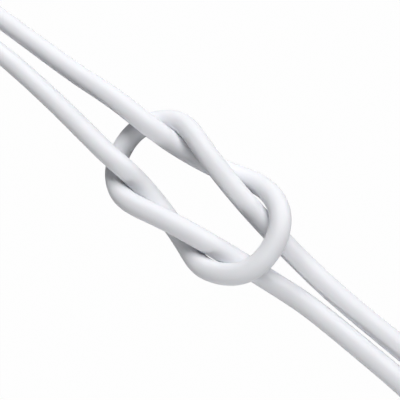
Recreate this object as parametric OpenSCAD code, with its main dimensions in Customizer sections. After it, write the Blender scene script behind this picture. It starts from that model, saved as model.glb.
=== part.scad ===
// Charging cable: one white cord with a USB-A plug on one end and a USB-C plug on the other,
// tied at its middle in a reef knot, with the spare length in a coil held by a strap.
// The origin is on the table, midway between the two plugs. +X runs along the knot towards
// the USB-C plug, +Y is to the side away from the coil, +Z is up.

/* [Cord] */
// Outer diameter of the jacket
cord_d = 4; // [3.4:0.1:4]
// Radius of the coil, to the middle of its turns
coil_r = 22; // [20:0.5:24]
// Spare room between neighbouring turns
turn_gap = 0.1; // [0.05:0.05:0.3]
// Width of the strap that holds the coil
tie_w = 10; // [8:1:14]
// Thickness of the strap
tie_t = 0.6; // [0.4:0.1:0.8]

/* [Shared by both plugs] */
// Gap that fixed pieces are assembled with
seat = 0.05; // [0.02:0.01:0.08]
// Thickness of the stamped shield sheet
sheet = 0.2; // [0.15:0.01:0.25]
// Thickness of the copper braid folded back over the jacket
braid_t = 0.15; // [0.1:0.01:0.25]
// Length of the crimp barrel round the braid
crimp_l = 3; // [2.5:0.1:3.5]
// Thickness of the strain relief flange inside the housing
flange_t = 2.4; // [2:0.1:3]
// Wall of the strain relief at its thin end
relief_tip_wall = 0.5; // [0.4:0.05:0.6]
// Width of each bending slot in the strain relief
relief_slot = 0.8; // [0.6:0.05:1]
// Number of bending slots along the strain relief
relief_slots = 5; // [3:1:6]

/* [USB-A plug] */
// Width of the metal shell
a_shell_w = 12; // [11.8:0.1:12.4]
// Height of the metal shell
a_shell_h = 4.5; // [4.4:0.05:4.7]
// Thickness of the shell's sheet
a_shell_t = 0.3; // [0.25:0.01:0.32]
// Corner radius of the shell
a_shell_r = 0.7; // [0.5:0.05:0.9]
// Length of the shell in front of the housing
a_reach = 12; // [11.8:0.1:12.6]
// Length of the shell inside the housing
a_embed = 6.4; // [6:0.1:7]
// Length of each square window in the shell
a_window_l = 2; // [1.8:0.1:2.2]
// Width of each square window in the shell
a_window_w = 2.5; // [2.2:0.1:2.7]
// Distance from the shell's mouth to the windows
a_window_from_tip = 5.2; // [4.6:0.1:5.6]
// Distance of each window's centre from the middle
a_window_y = 2.25; // [2.1:0.05:2.5]
// Thickness of the insulator tongue
a_tongue_t = 1.9; // [1.8:0.05:2]
// Width of a contact blade
a_contact_w = 1; // [0.9:0.05:1.1]
// Thickness of a contact blade
a_contact_t = 0.2; // [0.15:0.01:0.25]
// Width of the housing
a_body_w = 15.6; // [15.4:0.1:16]
// Height of the housing
a_body_h = 8; // [7.9:0.1:8.4]
// Length of the housing
a_body_l = 22; // [21.5:0.1:24]
// Corner radius of the housing, seen from the end
a_body_r = 2.2; // [1.6:0.1:2.6]
// Wall of the housing
a_wall = 1.2; // [1.1:0.05:1.3]
// Length of the strain relief behind the housing
a_relief_l = 14; // [12:0.5:16]
// Wall of the strain relief where it enters the housing
a_relief_wall = 1.4; // [1.1:0.05:1.5]
// Diameter of an insulated wire
a_wire_d = 1; // [0.8:0.05:1]

/* [USB-C plug] */
// Width of the drawn shell
c_shell_w = 8.25; // [8.15:0.05:8.35]
// Height of the drawn shell
c_shell_h = 2.4; // [2.35:0.05:2.45]
// Thickness of the shell's wall
c_shell_t = 0.2; // [0.15:0.01:0.22]
// Length of the shell in front of the housing
c_reach = 6.65; // [6.5:0.05:7]
// Length of the shell inside the housing
c_embed = 4; // [3.6:0.1:4.4]
// Width of the slot that takes the socket's tongue
c_slot_w = 6.4; // [6.2:0.05:6.5]
// Height of that slot
c_slot_h = 0.8; // [0.75:0.01:0.85]
// Depth of that slot from the shell's mouth
c_slot_l = 5.2; // [5:0.1:5.4]
// Spacing of the contacts
c_pitch = 0.5; // [0.48:0.01:0.5]
// Width of a contact beam
c_contact_w = 0.25; // [0.2:0.01:0.28]
// Thickness of a contact beam
c_contact_t = 0.15; // [0.12:0.01:0.16]
// Thickness of the latch spring
c_latch_t = 0.2; // [0.15:0.01:0.22]
// Width of a latch arm
c_latch_w = 0.3; // [0.25:0.01:0.32]
// Thickness of the paddle card
c_card_t = 0.8; // [0.7:0.02:0.8]
// Length of the paddle card
c_card_l = 5; // [4.8:0.1:5.4]
// Width of the housing
c_body_w = 11.8; // [11.6:0.1:12.2]
// Length of the housing
c_body_l = 17.35; // [17.2:0.05:18.5]
// Corner radius of the housing, seen from the end
c_body_r = 2.4; // [2:0.1:2.8]
// Wall of the housing
c_wall = 0.8; // [0.7:0.05:0.9]
// Length of the strain relief behind the housing
c_relief_l = 12; // [10:0.5:14]
// Wall of the strain relief where it enters the housing
c_relief_wall = 0.8; // [0.7:0.05:0.85]
// Diameter of an insulated wire
c_wire_d = 0.8; // [0.7:0.05:0.9]

/* [Hidden] */

white_plastic = [0.93, 0.93, 0.94];
white_jacket = [0.9, 0.9, 0.92];
steel = [0.78, 0.78, 0.8];
gold = [0.85, 0.68, 0.3];
copper = [0.8, 0.5, 0.35];
black_plastic = [0.12, 0.12, 0.13];
clear_plastic = [0.8, 0.82, 0.8];

$fn = 48;
cut = 0.01;
cord_r = cord_d / 2;
turn_step = cord_d + turn_gap;
crimp_d = cord_d + 2 * (braid_t + seat + sheet);

// ---------------------------------------------------------------------------------------
// Shared shapes. Each plug is drawn along +X from the cord exit at x = 0, on its own axis.

// A rectangle with round corners, centred
module round_rect(w, h, r) {
    square([w - 2 * r, h], center = true);
    square([w, h - 2 * r], center = true);
    for (i = [-1, 1], j = [-1, 1])
        translate([i * (w / 2 - r), j * (h / 2 - r)]) circle(r);
}

// A profile in Y and Z, drawn out along X
module along_x(from, to) {
    translate([from, 0, 0]) rotate([90, 0, 90]) linear_extrude(to - from) children();
}

// A plate outline in X and Y, of a thickness in Z
module flat_plate(z, t) {
    translate([0, 0, z]) linear_extrude(t) children();
}

// A strip bent in X and Z, as wide as w in Y
module bent_strip(y, w, outline) {
    translate([0, y + w / 2, 0]) rotate([90, 0, 0]) linear_extrude(w) polygon(outline);
}

// A block between two X stations
module block(from, to, w, z0, z1, y = 0) {
    translate([from, y - w / 2, z0]) cube([to - from, w, z1 - z0]);
}

// A straight wire between two points, cut square to X just short of both
module wire(p, q, d) {
    v = q - p;
    way = v / norm(v);
    over = d;
    intersection() {
        translate(p - over * way) rotate([0, acos(way.z), atan2(v.y, v.x)])
            cylinder(d = d, h = norm(v) + 2 * over);
        block(p.x + seat, q.x - seat, 40 * d, -20 * d, 20 * d);
    }
}

// A tube along X
module tube_x(from, to, inner, outer) {
    translate([from, 0, 0]) rotate([0, 90, 0]) difference() {
        cylinder(r = outer, h = to - from);
        translate([0, 0, -cut]) cylinder(r = inner, h = to - from + 2 * cut);
    }
}

// The slotted, tapered sleeve that the cord leaves the plug through, and the flange that
// holds it inside the housing
module strain_relief(relief_l, root_wall, wall, flange_w, flange_h, flange_r) {
    tip_r = cord_r + relief_tip_wall;
    root_r = cord_r + root_wall - seat;
    flange_x = relief_l + wall + seat;
    lip = 1;
    pitch = (relief_l - 3 * lip) / relief_slots;
    slot_floor = relief_tip_wall * 0.6;
    difference() {
        union() {
            rotate([0, 90, 0]) rotate_extrude() polygon([[0, 0], [tip_r, 0], [tip_r, lip],
                [root_r, relief_l - lip], [root_r, flange_x + cut], [0, flange_x + cut]]);
            along_x(flange_x, flange_x + flange_t) round_rect(flange_w, flange_h, flange_r);
        }
        translate([-cut, 0, 0]) rotate([0, 90, 0]) cylinder(r = cord_r, h = flange_x + flange_t + 2 * cut);
        for (i = [0 : relief_slots - 1], side = [-1, 1])
            translate([1.5 * lip + i * pitch, 0, 0]) rotate([i % 2 * 90, 0, 0])
                translate([0, side < 0 ? -2 * root_r : cord_r + slot_floor, -root_r])
                    cube([relief_slot, 2 * root_r - cord_r - slot_floor, 2 * root_r]);
    }
}

// The hard sleeve of a plug: an open front for the shell, a rear wall with the relief's hole
module housing(w, h, r, wall, root_r, from, to, shell_x, mouth_w, mouth_h, mouth_r) {
    ease = 1.6;
    slim = 0.8;
    tail = 3.5;
    tail_slim = 0.6 * wall;
    tail_drop = 0.4;
    skin = 0.05;
    difference() {
        union() {
            hull() {
                along_x(from, from + skin) round_rect(w - 2 * tail_slim, h - tail_drop, r);
                along_x(from + tail, from + tail + skin) round_rect(w, h, r);
            }
            along_x(from + tail, to - ease) round_rect(w, h, r);
            hull() {
                along_x(to - ease - skin, to - ease) round_rect(w, h, r);
                along_x(to - skin, to) round_rect(w - slim, h - slim, r - slim / 2);
            }
        }
        along_x(from + wall, to - wall) round_rect(w - 2 * wall, h - 2 * wall, r / 2);
        along_x(shell_x - seat, to + cut)
            round_rect(mouth_w + 2 * seat, mouth_h + 2 * seat, mouth_r + seat);
        translate([from - cut, 0, 0]) rotate([0, 90, 0])
            cylinder(r = root_r, h = wall + seat + 2 * cut);
    }
}

// Half of the shield can behind a shell: side = 1 is the upper half, -1 the lower one
module shield_half(side, from, to, w, h, r, shell_x, mouth_w, mouth_h, mouth_r) {
    hole_r = cord_r + braid_t + seat;
    half_h = h / 2 + cut;
    intersection() {
        difference() {
            along_x(from, to) round_rect(w, h, r);
            along_x(from + sheet, to - sheet) round_rect(w - 2 * sheet, h - 2 * sheet, r - sheet);
            along_x(shell_x - seat, to + cut)
                round_rect(mouth_w + 2 * seat, mouth_h + 2 * seat, mouth_r + seat);
            translate([from - cut, 0, 0]) rotate([0, 90, 0]) cylinder(r = hole_r, h = sheet + 2 * cut);
        }
        block(from, to, w, side > 0 ? seat / 2 : -half_h, side > 0 ? half_h : -seat / 2);
    }
}

// The crimp barrel that closes on the braid, behind the lower half of the can
module crimp_barrel(from, to) {
    outer_r = crimp_d / 2;
    bore_r = outer_r - sheet;
    tube_x(from, to - seat, bore_r, outer_r);
    // Only its lower half runs on into the can's rear wall
    intersection() {
        tube_x(to - 2 * seat, to + sheet / 2, bore_r, outer_r);
        block(to - 2 * seat, to + sheet, 4 * outer_r, -2 * outer_r, -seat / 2);
    }
}

// ---------------------------------------------------------------------------------------
// USB-A plug

a_house_x = a_relief_l;
a_front_x = a_house_x + a_body_l;
a_tip_x = a_front_x + a_reach;
a_shell_x = a_front_x - a_embed;
a_flange_x = a_house_x + a_wall + seat;
a_crimp_x = a_flange_x + flange_t + seat;
a_can_x = a_crimp_x + crimp_l;
a_cord_in_x = a_can_x + sheet + 0.4;
a_can_front_x = a_shell_x + 2;
a_can_w = a_body_w - 2 * a_wall - 2 * seat;
a_can_h = a_body_h - 2 * a_wall - 2 * seat;
a_can_r = a_body_r / 2;
a_core_w = a_shell_w - 2 * a_shell_t - 2 * seat;
a_core_h = a_shell_h - 2 * a_shell_t - 2 * seat;
a_cavity_l = 9.5;
a_block_x = a_tip_x - a_cavity_l;
a_tongue_z = a_tongue_t - a_core_h / 2;
a_tail_x = a_shell_x - 2.6;
// Places across the plug of the contacts, and how far each stays behind the mouth
a_contact_y = [3.5, 1, -1, -3.5];
a_contact_back = [1.4, 2.4, 2.4, 1.4];

// The plugs lie on both sides of the coil, with their tips towards -Y
plug_x = -69;
a_exit_y = 24;

module place_a() {
    translate([plug_x, a_exit_y, a_body_h / 2]) rotate([0, 0, -90]) children();
}

module a_shell() {
    seam = 0.12;
    lock_w = 1.2;
    lock_l = 2.4;
    lock_x = a_shell_x + a_embed + 3;
    color(steel) place_a() difference() {
        along_x(a_shell_x, a_tip_x) round_rect(a_shell_w, a_shell_h, a_shell_r);
        along_x(a_shell_x - cut, a_tip_x + cut)
            round_rect(a_shell_w - 2 * a_shell_t, a_shell_h - 2 * a_shell_t, a_shell_r - a_shell_t);
        for (side = [-1, 1])
            block(a_tip_x - a_window_from_tip - a_window_l, a_tip_x - a_window_from_tip,
                a_window_w, -a_shell_h, a_shell_h, side * a_window_y);
        // The folded seam on the tongue's side steps aside round one lock tab
        block(a_shell_x - cut, lock_x + seam, seam, -a_shell_h, 0);
        block(lock_x + lock_l, a_tip_x + cut, seam, -a_shell_h, 0);
        block(lock_x, lock_x + lock_l + seam, seam, -a_shell_h, 0, lock_w);
        for (x = [lock_x, lock_x + lock_l])
            block(x, x + seam, lock_w + seam, -a_shell_h, 0, lock_w / 2);
    }
}

module a_insulator() {
    groove_w = a_contact_w + 2 * seat;
    color(white_plastic) place_a() difference() {
        union() {
            along_x(a_shell_x, a_block_x) round_rect(a_core_w, a_core_h, a_shell_r - a_shell_t);
            intersection() {
                along_x(a_block_x - cut, a_tip_x - 0.4)
                    round_rect(a_core_w, a_core_h, a_shell_r - a_shell_t);
                block(a_block_x - cut, a_tip_x, a_core_w, -a_core_h, a_tongue_z);
            }
        }
        for (i = [0 : 3])
            block(a_shell_x - cut, a_tip_x - a_contact_back[i] + seat, groove_w,
                a_tongue_z - a_contact_t - seat, a_tongue_z + seat, a_contact_y[i]);
    }
}

module a_contacts() {
    nose = 0.5;
    color(gold) place_a() for (i = [0 : 3]) {
        front = a_tip_x - a_contact_back[i];
        bent_strip(a_contact_y[i], a_contact_w, [[a_tail_x, a_tongue_z - a_contact_t],
            [front, a_tongue_z - a_contact_t], [front - nose, a_tongue_z], [a_tail_x, a_tongue_z]]);
    }
}

module a_shield_upper() {
    color(steel) place_a()
        shield_half(1, a_can_x, a_can_front_x, a_can_w, a_can_h, a_can_r,
            a_shell_x, a_shell_w, a_shell_h, a_shell_r);
}

module a_shield_lower() {
    color(steel) place_a() {
        shield_half(-1, a_can_x, a_can_front_x, a_can_w, a_can_h, a_can_r,
            a_shell_x, a_shell_w, a_shell_h, a_shell_r);
        crimp_barrel(a_crimp_x, a_can_x);
    }
}

module a_inner_mould() {
    color(clear_plastic) place_a() difference() {
        along_x(a_cord_in_x + seat, a_shell_x - seat)
            round_rect(a_can_w - 2 * sheet - 2 * seat, a_can_h - 2 * sheet - 2 * seat, a_can_r - sheet);
        along_x(a_cord_in_x, a_shell_x)
            round_rect(2 * (a_contact_y[0] + a_wire_d + 2 * seat), 2.8 * a_wire_d, 0.4 * a_wire_d);
    }
}

// One wire from the cord's end to the tail of contact i; each starts in its own quarter
module a_wire(i, up) {
    start = a_wire_d * 0.62;
    color(["firebrick", "whitesmoke", "seagreen", "dimgray"][i]) place_a()
        wire([a_cord_in_x, (i < 2 ? 1 : -1) * start, up * start],
            [a_tail_x, a_contact_y[i], a_tongue_z - a_contact_t / 2], a_wire_d);
}

module a_wire_red() { a_wire(0, 1); }
module a_wire_white() { a_wire(1, -1); }
module a_wire_green() { a_wire(2, -1); }
module a_wire_black() { a_wire(3, 1); }

module a_cord_end() {
    color(white_jacket) place_a() rotate([0, 90, 0]) cylinder(r = cord_r, h = a_cord_in_x);
}

module a_braid() {
    color(copper) place_a() tube_x(a_crimp_x, a_can_x + sheet, cord_r, cord_r + braid_t);
}

module a_strain_relief() {
    color(white_jacket) place_a() strain_relief(a_relief_l, a_relief_wall, a_wall, a_can_w, a_can_h, a_can_r);
}

module a_housing() {
    color(white_plastic) place_a() housing(a_body_w, a_body_h, a_body_r, a_wall,
        cord_r + a_relief_wall, a_house_x, a_front_x, a_shell_x, a_shell_w, a_shell_h, a_shell_r);
}

// ---------------------------------------------------------------------------------------
// USB-C plug

// The housing is as low as the crimp barrel allows
c_body_h = crimp_d + 2 * c_wall + 2 * seat;
c_house_x = c_relief_l;
c_front_x = c_house_x + c_body_l;
c_tip_x = c_front_x + c_reach;
c_shell_x = c_front_x - c_embed;
c_flange_x = c_house_x + c_wall + seat;
c_crimp_x = c_flange_x + flange_t + seat;
c_can_x = c_crimp_x + crimp_l;
c_cord_in_x = c_can_x + sheet + 0.4;
c_can_front_x = c_shell_x + 1.5;
c_can_w = c_body_w - 2 * c_wall - 2 * seat;
c_can_h = c_body_h - 2 * c_wall - 2 * seat;
c_can_r = c_body_r / 2;
c_end_r = c_shell_h / 2 - 0.02;
c_core_w = c_shell_w - 2 * c_shell_t - 2 * seat;
c_core_h = c_shell_h - 2 * c_shell_t - 2 * seat;
c_core_r = c_core_h / 2 - 0.02;
c_card_x = c_shell_x + 0.3 - c_card_l;
c_card_w = 7.2;
c_core_x = c_shell_x + 0.3 + seat;
c_mouth_x = c_tip_x - 0.3;
c_slot_x = c_tip_x - c_slot_l;
c_tail_x = c_core_x - 2.2;
c_beam_z = c_card_t / 2 + seat;
// Each latch arm runs in the middle of the wall beside the slot
c_latch_y = (c_slot_w / 2 + c_core_w / 2 - c_latch_w) / 2;
// Contact positions of the two rows, counted 1 to 12 across the plug
c_upper_row = [1, 4, 5, 6, 7, 9, 12];
c_lower_row = [1, 4, 5, 9, 12];

// Its outer side and its tip lie as far from the middle as those of the other plug
c_plug_x = (a_body_w - c_body_w) / 2 - plug_x;
c_exit_y = a_exit_y - a_tip_x + c_tip_x;

module place_c() {
    translate([c_plug_x, c_exit_y, c_body_h / 2]) rotate([0, 0, -90]) children();
}

function c_contact_place(n) = (n - 6.5) * c_pitch;

module c_shell() {
    color(steel) place_c() difference() {
        along_x(c_shell_x, c_tip_x) round_rect(c_shell_w, c_shell_h, c_end_r);
        along_x(c_shell_x - cut, c_tip_x + cut)
            round_rect(c_shell_w - 2 * c_shell_t, c_shell_h - 2 * c_shell_t, c_end_r - c_shell_t);
    }
}

module c_insulator() {
    groove_w = c_contact_w + 2 * seat;
    groove_top = c_beam_z + c_contact_t + seat;
    latch_z = c_latch_t / 2 + seat;
    arm_in = c_slot_w / 2 - cut;
    arm_out = c_latch_y + c_latch_w + 2 * seat;
    spring_z = c_core_h / 2 - 0.1 - seat;
    color(black_plastic) place_c() difference() {
        along_x(c_core_x, c_mouth_x) round_rect(c_core_w, c_core_h, c_core_r);
        block(c_slot_x, c_tip_x, c_slot_w, -c_slot_h / 2, c_slot_h / 2);
        for (n = c_upper_row)
            block(c_core_x - cut, c_tip_x - 0.7, groove_w, c_beam_z - seat, groove_top, c_contact_place(n));
        for (n = c_lower_row)
            block(c_core_x - cut, c_tip_x - 0.7, groove_w, -groove_top, -c_beam_z + seat,
                c_contact_place(n));
        block(c_core_x - cut, c_core_x + 1, 2 * (c_latch_y + c_latch_w + seat), -latch_z, latch_z);
        for (side = [-1, 1])
            block(c_core_x, c_tip_x - 0.9, arm_out - arm_in, -latch_z, latch_z,
                side * (arm_out + arm_in) / 2);
        for (side = [-1, 1])
            block(c_tip_x - 3, c_tip_x - 0.8, 4.8 + 2 * seat, side > 0 ? spring_z : -c_core_h,
                side > 0 ? c_core_h : -spring_z);
    }
}

// One row of contact beams: side = 1 is above the slot, -1 below it
module c_contact_row(side, row) {
    dip = c_beam_z + c_contact_t - 0.3;
    z0 = side * c_beam_z;
    z1 = side * (c_beam_z + c_contact_t);
    zd = side * dip;
    front = c_tip_x - 0.8;
    color(gold) place_c() for (n = row)
        bent_strip(c_contact_place(n), c_contact_w, [[c_tail_x, z0], [front - 1.9, z0],
            [front - 0.9, zd - side * c_contact_t], [front, z0], [front, z1],
            [front - 0.9, zd], [front - 1.9, z1], [c_tail_x, z1]]);
}

module c_contacts_upper() { c_contact_row(1, c_upper_row); }
module c_contacts_lower() { c_contact_row(-1, c_lower_row); }

// The spring plate between the rows, with a hooked arm on each side of the slot
module c_latch() {
    hook = 0.35;
    arm_end = c_tip_x - 1;
    base = c_core_x + 0.1;
    arm = [[base + 0.8, c_latch_y], [arm_end - 1.4, c_latch_y], [arm_end - 0.8, c_latch_y - hook],
        [arm_end - 0.4, c_latch_y - hook], [arm_end, c_latch_y], [arm_end, c_latch_y + c_latch_w],
        [base, c_latch_y + c_latch_w]];
    other_arm = [for (k = [len(arm) - 1 : -1 : 0]) [arm[k].x, -arm[k].y]];
    color(steel) place_c() flat_plate(-c_latch_t / 2, c_latch_t) polygon(concat(arm, other_arm));
}

module c_emi_springs() {
    spring_t = 0.08;
    color(steel) place_c() for (side = [-1, 1])
        translate([0, 0, side > 0 ? c_core_h / 2 - 0.1 : -c_core_h / 2 + 0.1 - spring_t])
            linear_extrude(spring_t) difference() {
                translate([c_tip_x - 2.9, -2.4]) square([2, 4.8]);
                for (y = [-0.8, 0.8]) translate([c_tip_x - 2.3, y - 0.15]) square([2, 0.3]);
            }
}

module c_paddle_card() {
    color("darkgreen") place_c() difference() {
        block(c_card_x, c_card_x + c_card_l, c_card_w, -c_card_t / 2, c_card_t / 2);
        for (side = [-1, 1])
            translate([c_card_x + 0.8, side * c_card_w / 2, -c_card_t]) cylinder(r = 0.4, h = 2 * c_card_t);
    }
}

module c_resistor() {
    color("black") place_c()
        block(c_card_x + 1.3, c_card_x + 1.8, 1, c_card_t / 2, c_card_t / 2 + 0.35, -1.5);
}

module c_capacitor() {
    color("tan") place_c()
        block(c_card_x + 1.3, c_card_x + 1.8, 1, c_card_t / 2, c_card_t / 2 + 0.5, 1.5);
}

module c_inner_mould() {
    color(clear_plastic) place_c() difference() {
        along_x(c_cord_in_x + seat, c_shell_x - seat)
            round_rect(c_can_w - 2 * sheet - 2 * seat, c_can_h - 2 * sheet - 2 * seat, c_can_r - sheet);
        along_x(c_cord_in_x, c_shell_x)
            round_rect(c_card_w - c_wire_d, c_card_t + 2 * c_wire_d + 4 * seat, c_wire_d / 2);
        block(c_cord_in_x, c_shell_x, c_card_w + 2 * seat, -c_card_t / 2 - seat, c_card_t / 2 + seat);
    }
}

module c_shield_upper() {
    color(steel) place_c()
        shield_half(1, c_can_x, c_can_front_x, c_can_w, c_can_h, c_can_r,
            c_shell_x, c_shell_w, c_shell_h, c_end_r);
}

module c_shield_lower() {
    color(steel) place_c() {
        shield_half(-1, c_can_x, c_can_front_x, c_can_w, c_can_h, c_can_r,
            c_shell_x, c_shell_w, c_shell_h, c_end_r);
        crimp_barrel(c_crimp_x, c_can_x);
    }
}

// One wire from the cord's end to a pad on the card's rear edge
module c_wire(shade, across, up) {
    start = c_wire_d * 0.56;
    color(shade) place_c()
        wire([c_cord_in_x, across * start, up * start],
            [c_card_x, across * 1.2, up * (c_card_t + c_wire_d) / 2], c_wire_d);
}

module c_wire_red() { c_wire("firebrick", 1, 1); }
module c_wire_white() { c_wire("whitesmoke", 1, -1); }
module c_wire_green() { c_wire("seagreen", -1, 1); }
module c_wire_black() { c_wire("dimgray", -1, -1); }

module c_cord_end() {
    color(white_jacket) place_c() rotate([0, 90, 0]) cylinder(r = cord_r, h = c_cord_in_x);
}

module c_braid() {
    color(copper) place_c() tube_x(c_crimp_x, c_can_x + sheet, cord_r, cord_r + braid_t);
}

module c_strain_relief() {
    color(white_jacket) place_c() strain_relief(c_relief_l, c_relief_wall, c_wall, c_can_w, c_can_h, c_can_r);
}

module c_housing() {
    color(white_plastic) place_c() housing(c_body_w, c_body_h, c_body_r, c_wall,
        cord_r + c_relief_wall, c_house_x, c_front_x, c_shell_x, c_shell_w, c_shell_h, c_end_r);
}

// ---------------------------------------------------------------------------------------
// Cord. The routes are control points of a smooth curve: X, Y and how far the cord is
// lifted off the table there.

coil_side = coil_r + turn_step / 2;
coil_out = 14;
a_exit_lift = a_body_h / 2 - cord_r;
c_exit_lift = c_body_h / 2 - cord_r;

// From the USB-A plug, round the right-hand bight and back to the coil
route_a = [[plug_x, a_exit_y - 7, a_exit_lift], [plug_x, a_exit_y, a_exit_lift],
    [plug_x, a_exit_y + 7, a_exit_lift],
    [-72, 40, 0], [-76.5, 52, 0], [-79.5, 64, 0], [-79.5, 75, 0], [-75, 83.5, 0], [-66.5, 87.5, 0],
    [-57, 88, 0], [-47, 88.5, 0], [-33.5, 89, 2.5], [-25, 90, 4.5], [-15, 90, 6], [-9.5, 90.5, 0.5],
    [1, 92.5, 0], [7.5, 95.5, 0], [15, 93.5, 5.5], [18, 87, 6], [17, 79.5, 6], [9, 75.5, 2.5],
    [4.5, 77.5, 0], [-9, 80.5, 0], [-14, 81, 3.5], [-18.5, 81, 5], [-31, 82, 3], [-45, 82.5, 0.5],
    [-54.5, 82.5, 0], [-63.5, 81.5, 0], [-70.5, 77, 0], [-73, 69, 0], [-70, 60.5, 0], [-62, 54, 0],
    [-52, 48, 0], [-42, 42, 0], [-33, 36, 0], [-26.5, 29, 0],
    [-coil_side, coil_out + 7, 0], [-coil_side, coil_out, 0], [-coil_side, coil_out - 7, 0]];

// From the USB-C plug, round the left-hand bight and back to the coil
route_c = [[c_plug_x, c_exit_y - 7, c_exit_lift], [c_plug_x, c_exit_y, c_exit_lift],
    [c_plug_x, c_exit_y + 7, c_exit_lift],
    [74, 28, 0], [77.5, 39, 0], [80.5, 50, 0], [82.5, 62, 0], [82, 73.5, 0], [77, 82.5, 0],
    [68, 87.5, 0], [57, 88, 0], [46, 88, 0], [37.5, 88, 0], [29, 88, 0.5], [18, 89, 1],
    [6.5, 90.5, 3.5], [-4.5, 93, 5], [-10.5, 95, 3], [-15, 93.5, 0.5], [-19, 88.5, 1],
    [-18, 79.5, -0.5], [-11.5, 75.5, 1.5], [-3, 78.5, 6], [10.5, 81, 2.5], [21.5, 82.5, 0.5],
    [25, 83, 0], [30.5, 83.5, 0], [43.5, 83.5, 0], [51.5, 83.5, 0], [61.5, 82, 0], [69.5, 77.5, 0],
    [73, 69, 0], [70, 60.5, 0], [62, 54, 0], [52, 48, 0], [42, 42, 0], [33, 36, 0.5], [26.5, 29, 2.5],
    [coil_side, coil_out + 7, turn_step], [coil_side, coil_out, turn_step],
    [coil_side, coil_out - 7, turn_step]];

// A point on the curve of the control points p, in segment i, at the share t of the way along
function curve_point(p, i, t) =
    (pow(1 - t, 3) * p[i] + (3 * pow(t, 3) - 6 * t * t + 4) * p[i + 1]
    + (-3 * pow(t, 3) + 3 * t * t + 3 * t + 1) * p[i + 2] + pow(t, 3) * p[i + 3]) / 6;

// The direction of the curve there
function curve_way(p, i, t) = let (w = -pow(1 - t, 2) * p[i] + (3 * t * t - 4 * t) * p[i + 1]
    + (-3 * t * t + 2 * t + 1) * p[i + 2] + t * t * p[i + 3]) w / norm(w);

// The knot gets two rings for each segment, and the rest gets one
knot_y = 85.5;
knot_reach = 24;
function steps(p, i) = norm([p[i + 1].x, p[i + 1].y - knot_y]) < knot_reach ? 2 : 1;
function stations(p) = [for (i = [0 : len(p) - 4]) for (k = [0 : steps(p, i) - 1]) [i, k / steps(p, i)],
    [len(p) - 4, 1]];

// The ring of points round the cord at one station, square to the curve
sides = 10;
function ring(p, s) = let (centre = curve_point(p, s[0], s[1]), way = curve_way(p, s[0], s[1]),
    across = cross([0, 0, 1], way) / norm(cross([0, 0, 1], way)), up = cross(way, across))
    [for (k = [0 : sides - 1]) centre + [0, 0, cord_r]
        + cord_r * (cos(k * 360 / sides) * across + sin(k * 360 / sides) * up)];

module cord_tube(route) {
    at = stations(route);
    rings = len(at);
    sleeve = [for (j = [0 : rings - 2]) for (k = [0 : sides - 1])
        let (next = (k + 1) % sides) [j * sides + k, j * sides + next, (j + 1) * sides + next,
            (j + 1) * sides + k]];
    near_end = [for (k = [sides - 1 : -1 : 0]) k];
    far_end = [for (k = [0 : sides - 1]) (rings - 1) * sides + k];
    polyhedron([for (s = at) each ring(route, s)], concat(sleeve, [near_end, far_end]), convexity = 10);
}

module cord_a() { color(white_jacket) cord_tube(route_a); }
module cord_c() { color(white_jacket) cord_tube(route_c); }

// The outer shape of the coil: two turns wide and two turns high
bundle = cord_d + turn_step;

module coil_ring() {
    translate([0, 0, bundle / 2]) rotate_extrude($fn = 96)
        translate([coil_r, 0]) round_rect(bundle, bundle, cord_r);
    // Each end of the cord leaves the coil straight, and its free length goes on from there
    for (part = [[-coil_side, cord_r], [coil_side, cord_r + turn_step]])
        translate([part[0], 0, part[1]]) rotate([-90, 0, 0]) cylinder(r = cord_r, h = coil_out);
}

// The strap goes under the coil, which is lifted by its thickness there
module strap_zone() {
    translate([-tie_w / 2 - 1, -coil_r - 2 * bundle, -bundle])
        cube([tie_w + 2, coil_r + bundle, 3 * bundle]);
}

module cord_coil() {
    color(white_jacket) {
        difference() {
            coil_ring();
            strap_zone();
        }
        intersection() {
            translate([0, 0, tie_t + seat]) coil_ring();
            strap_zone();
        }
    }
}

module coil_strap() {
    bow = pow(tie_w / 2, 2) / (2 * (coil_r - bundle / 2)) + seat;
    inner_w = bundle + bow + 2 * seat;
    inner_h = bundle + 2 * seat;
    color([0.2, 0.2, 0.22]) translate([0, bow / 2 - coil_r, tie_t + inner_h / 2]) {
        along_x(-tie_w / 2, tie_w / 2) difference() {
            round_rect(inner_w + 2 * tie_t, inner_h + 2 * tie_t, cord_r + tie_t);
            round_rect(inner_w, inner_h, cord_r);
        }
        // The free end is pressed down over the top and the outer side
        along_x(-tie_w / 2, tie_w / 2) difference() {
            round_rect(inner_w + 4 * tie_t, inner_h + 4 * tie_t, cord_r + 2 * tie_t);
            round_rect(inner_w + 2 * tie_t, inner_h + 2 * tie_t, cord_r + tie_t);
            translate([-bundle, -2 * bundle]) square([3 * bundle, 2 * bundle - inner_h / 4]);
            translate([inner_w / 4, -bundle]) square([2 * bundle, 3 * bundle]);
        }
    }
}

a_shell();
a_insulator();
a_contacts();
a_shield_upper();
a_shield_lower();
a_inner_mould();
a_wire_red();
a_wire_white();
a_wire_green();
a_wire_black();
a_cord_end();
a_braid();
a_strain_relief();
a_housing();
c_shell();
c_insulator();
c_contacts_upper();
c_contacts_lower();
c_latch();
c_emi_springs();
c_paddle_card();
c_resistor();
c_capacitor();
c_inner_mould();
c_shield_upper();
c_shield_lower();
c_wire_red();
c_wire_white();
c_wire_green();
c_wire_black();
c_cord_end();
c_braid();
c_strain_relief();
c_housing();
cord_a();
cord_c();
cord_coil();
coil_strap();
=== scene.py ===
from math import cos, pi, radians, sin

import bmesh
import bpy
from mathutils import Matrix, Vector


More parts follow.
